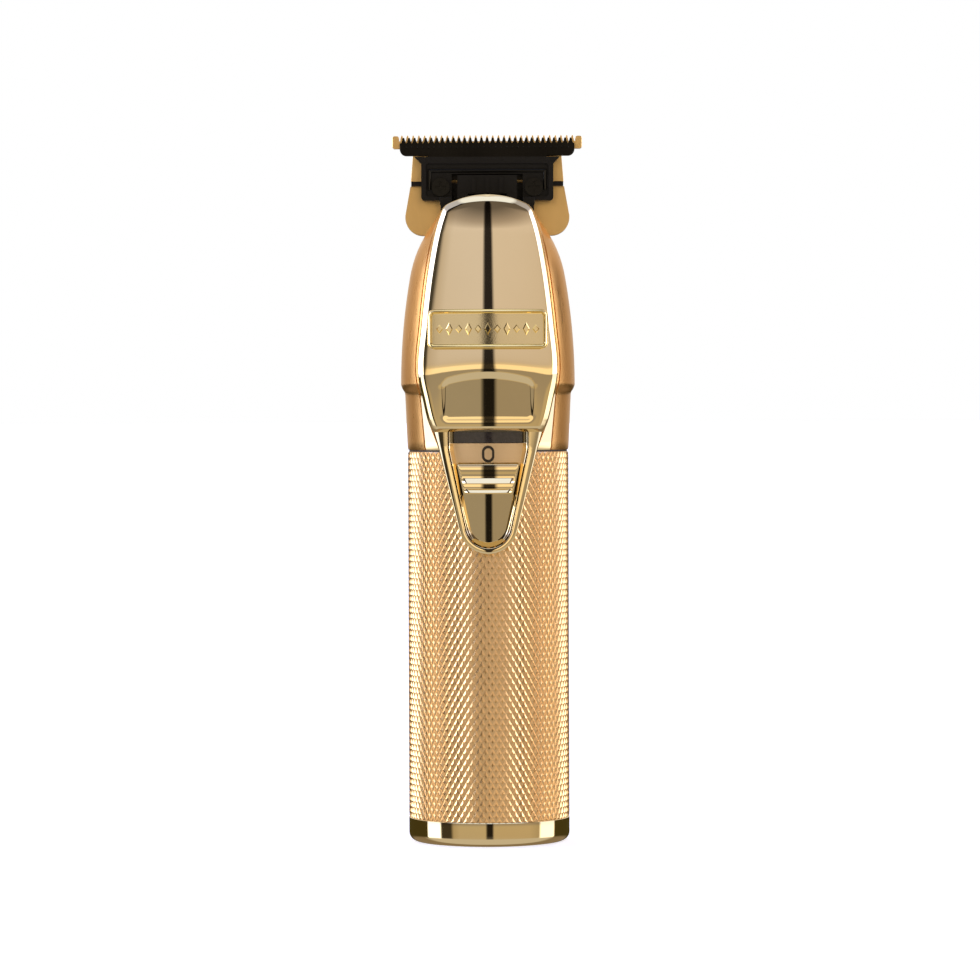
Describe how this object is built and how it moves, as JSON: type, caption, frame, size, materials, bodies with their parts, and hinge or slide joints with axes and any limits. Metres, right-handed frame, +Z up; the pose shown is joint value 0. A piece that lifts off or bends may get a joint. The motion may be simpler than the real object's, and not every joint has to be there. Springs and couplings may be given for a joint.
{
  "type": "hair clipper",
  "caption": "Cordless hair clipper with an exposed T-blade, knurled round barrel, polished front cover and slide switch, standing on its base.",
  "frame": {"origin": "centre of the base, on the surface that the clipper stands on", "axes": "+Z up along the barrel to the blade, -Y is the front with the switch, +X to the right seen from the front"},
  "size_m": [0.0402, 0.0381, 0.1494],
  "materials": {
    "barrel_gold": "knurled, gold coloured, satin",
    "housing_gold": "gold coloured, satin",
    "polished_gold": "gold coloured, mirror polished",
    "blade_gold": "gold coloured coating, satin",
    "blade_black": "black coating, satin",
    "black_plastic": "moulded, matte",
    "seal_rubber": "matte",
    "smoked_plastic": "smoked, gloss",
    "mark_black": "filled mark",
    "steel": "plain",
    "cell_wrap": "wrapped cell",
    "board_green": "solder mask",
    "light_white": "clear cap",
    "lead_red": "insulated wire",
    "brass": "turned",
    "winding": "laminated iron with enamelled copper",
    "magnet": "sintered"
  },
  "bodies": {
    "body": {"barrel_sleeve": "barrel_gold", "end_ring": "polished_gold", "end_plate": "black_plastic", "end_screws": "steel", "charge_socket": "black_plastic", "battery_cell": "cell_wrap", "battery_tabs": "steel", "battery_holder": "black_plastic", "battery_leads": "lead_red", "circuit_board": "board_green", "indicator_lights": "light_white", "switch_body": "steel", "switch_channel": "polished_gold", "indicator_window": "smoked_plastic", "zero_mark": "mark_black", "front_cover": "polished_gold", "name_plate": "polished_gold", "rear_housing": "housing_gold", "joint_seal": "seal_rubber", "neck_boot": "black_plastic", "motor_can": "steel", "motor_magnets": "magnet", "motor_end_cap": "black_plastic", "motor_bushes": "brass", "motor_cradle": "black_plastic", "motor_mount": "black_plastic", "motor_screws": "steel", "motor_leads": "lead_red", "fixed_blade": "blade_gold", "blade_yoke": "black_plastic", "blade_screws": "blade_black", "blade_spring": "blade_black", "blade_bracket": "blade_gold", "bracket_screws": "blade_gold"},
    "rotor": {"motor_shaft": "steel", "motor_armature": "winding", "eccentric_cam": "brass", "cam_bearing": "steel"},
    "blade": {"moving_blade": "blade_black", "drive_fork": "black_plastic"},
    "switch": {"switch_slider": "polished_gold", "switch_carrier": "black_plastic", "switch_knob": "black_plastic"}
  },
  "joints": [
    {"name": "rotor_spin", "type": "hinge", "parent": "body", "child": "rotor", "pos_m": [0, -0.0025, 0.1], "axis": [0, 0, 1], "continuous": true},
    {"name": "blade_stroke", "type": "slide", "parent": "body", "child": "blade", "axis": [1, 0, 0], "range_m": [-0.0009, 0.0009]},
    {"name": "switch_travel", "type": "slide", "parent": "body", "child": "switch", "axis": [0, 0, 1], "range_m": [0, 0.0038]}
  ]
}
